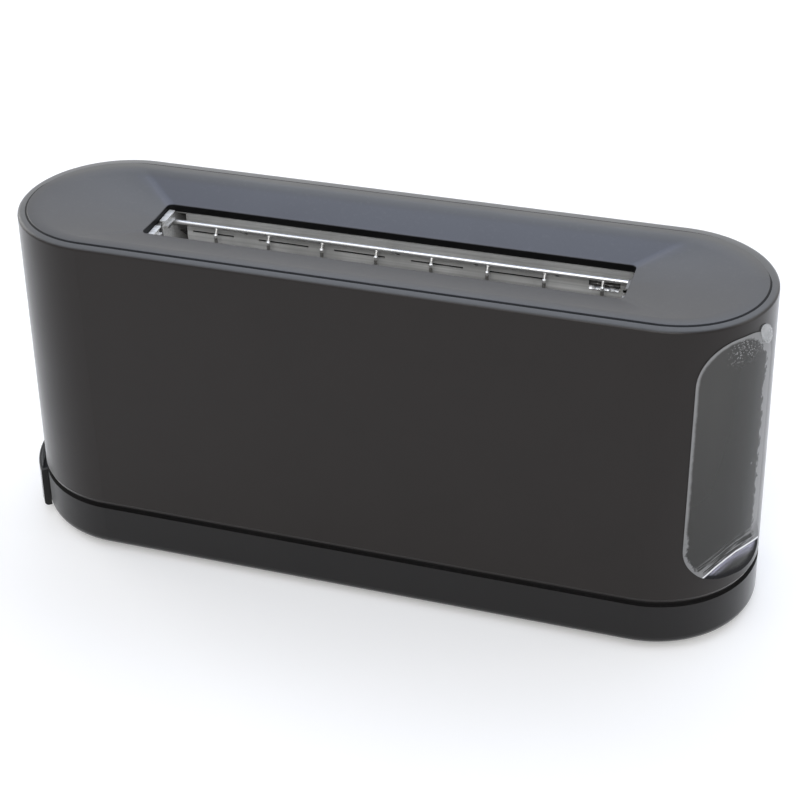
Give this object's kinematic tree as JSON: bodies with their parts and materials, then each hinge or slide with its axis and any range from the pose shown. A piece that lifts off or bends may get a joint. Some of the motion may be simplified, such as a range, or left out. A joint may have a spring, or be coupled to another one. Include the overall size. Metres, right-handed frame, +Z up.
{
  "type": "long slot toaster",
  "caption": "Tall matte black toaster with round ends, one long bread slot in a dished top, lever, browning dial and buttons on the back, and a pull-out crumb tray.",
  "frame": {"origin": "on the surface that the rubber feet stand on, under the middle of the whole box; the lever knob and the tray front reach out of the body, so the middle of the body's plan is at x 2.2 mm, y -8.2 mm", "axes": "+Z up, +X along the length towards the end with the protective film, +Y towards the back wall with the lever and dial"},
  "size_m": [0.409, 0.1306, 0.1875],
  "materials": {
    "shell_matte": "fine matte charcoal, soft touch",
    "cover_matte": "fine matte dark grey moulding",
    "base_matte": "fine matte black moulding",
    "clear_film": "clear peel-off film with small trapped bubbles",
    "foot_rubber": "matte black rubber",
    "screw_steel": "zinc-plated steel",
    "terminal_white": "off-white moulding",
    "tray_metal": "plain rolled sheet",
    "chassis_steel": "zinc-plated sheet steel",
    "reflector_steel": "aluminised sheet steel",
    "mica": "flecked mica sheet",
    "heater_alloy": "oxidised heating ribbon",
    "bright_wire": "bright plated wire",
    "spring_steel": "bright steel",
    "magnet_iron": "ground iron",
    "coil_copper": "enamelled copper winding on a bobbin",
    "board_green": "lacquered circuit board",
    "control_black": "satin black moulding"
  },
  "bodies": {
    "housing": {"body_shell": "shell_matte", "top_cover": "cover_matte", "base": "base_matte", "rubber_feet": "foot_rubber", "base_screws": "screw_steel", "cord_gland": "foot_rubber", "terminal_block": "terminal_white", "protective_film": "clear_film", "end_plate_left": "chassis_steel", "end_plate_right": "chassis_steel", "slot_frame": "chassis_steel", "reflector_front": "reflector_steel", "reflector_back": "reflector_steel", "heater_card_front": "mica", "heater_card_back": "mica", "heater_ribbon_front": "heater_alloy", "heater_ribbon_back": "heater_alloy", "guide_rod": "bright_wire", "lift_spring": "spring_steel", "lever_bezel": "control_black", "hold_magnet": "coil_copper", "control_board": "board_green", "potentiometer": "spring_steel"},
    "carriage": {"carriage": "chassis_steel", "armature": "magnet_iron", "bread_rack": "chassis_steel", "lever_knob": "control_black"},
    "guide_front": {"bread_guide_front": "bright_wire"},
    "guide_back": {"bread_guide_back": "bright_wire"},
    "tray": {"crumb_tray": "tray_metal", "crumb_tray_front": "base_matte"},
    "dial": {"browning_knob": "control_black", "dial_shaft": "spring_steel"},
    "cancel_key": {"cancel_button": "control_black"},
    "defrost_key": {"defrost_button": "control_black"},
    "reheat_key": {"reheat_button": "control_black"}
  },
  "joints": [
    {"name": "lever_slide", "type": "slide", "parent": "housing", "child": "carriage", "axis": [0, 0, 1], "range_m": [-0.07, 0], "stiffness_N_per_m": 120, "springref_m": 0.04, "deforming": ["lift_spring"]},
    {"name": "guide_front_close", "type": "slide", "parent": "housing", "child": "guide_front", "axis": [0, 1, 0], "range_m": [0, 0.005]},
    {"name": "guide_back_close", "type": "slide", "parent": "housing", "child": "guide_back", "axis": [0, -1, 0], "range_m": [0, 0.005]},
    {"name": "tray_slide", "type": "slide", "parent": "housing", "child": "tray", "axis": [-1, 0, 0], "range_m": [0, 0.24]},
    {"name": "dial_turn", "type": "hinge", "parent": "housing", "child": "dial", "pos_m": [-0.13803, 0.0518, 0.049], "axis": [0, 1, 0], "range_deg": [-135, 135]},
    {"name": "cancel_press", "type": "slide", "parent": "housing", "child": "cancel_key", "axis": [0, 1, 0], "range_m": [-0.002, 0], "stiffness_N_per_m": 400, "springref_m": 0.001},
    {"name": "defrost_press", "type": "slide", "parent": "housing", "child": "defrost_key", "axis": [0, 1, 0], "range_m": [-0.002, 0], "stiffness_N_per_m": 400, "springref_m": 0.001},
    {"name": "reheat_press", "type": "slide", "parent": "housing", "child": "reheat_key", "axis": [0, 1, 0], "range_m": [-0.002, 0], "stiffness_N_per_m": 400, "springref_m": 0.001}
  ],
  "couplings": [
    {"joint": "guide_front_close", "follows": "lever_slide", "ratio": -0.0714},
    {"joint": "guide_back_close", "follows": "lever_slide", "ratio": -0.0714}
  ]
}
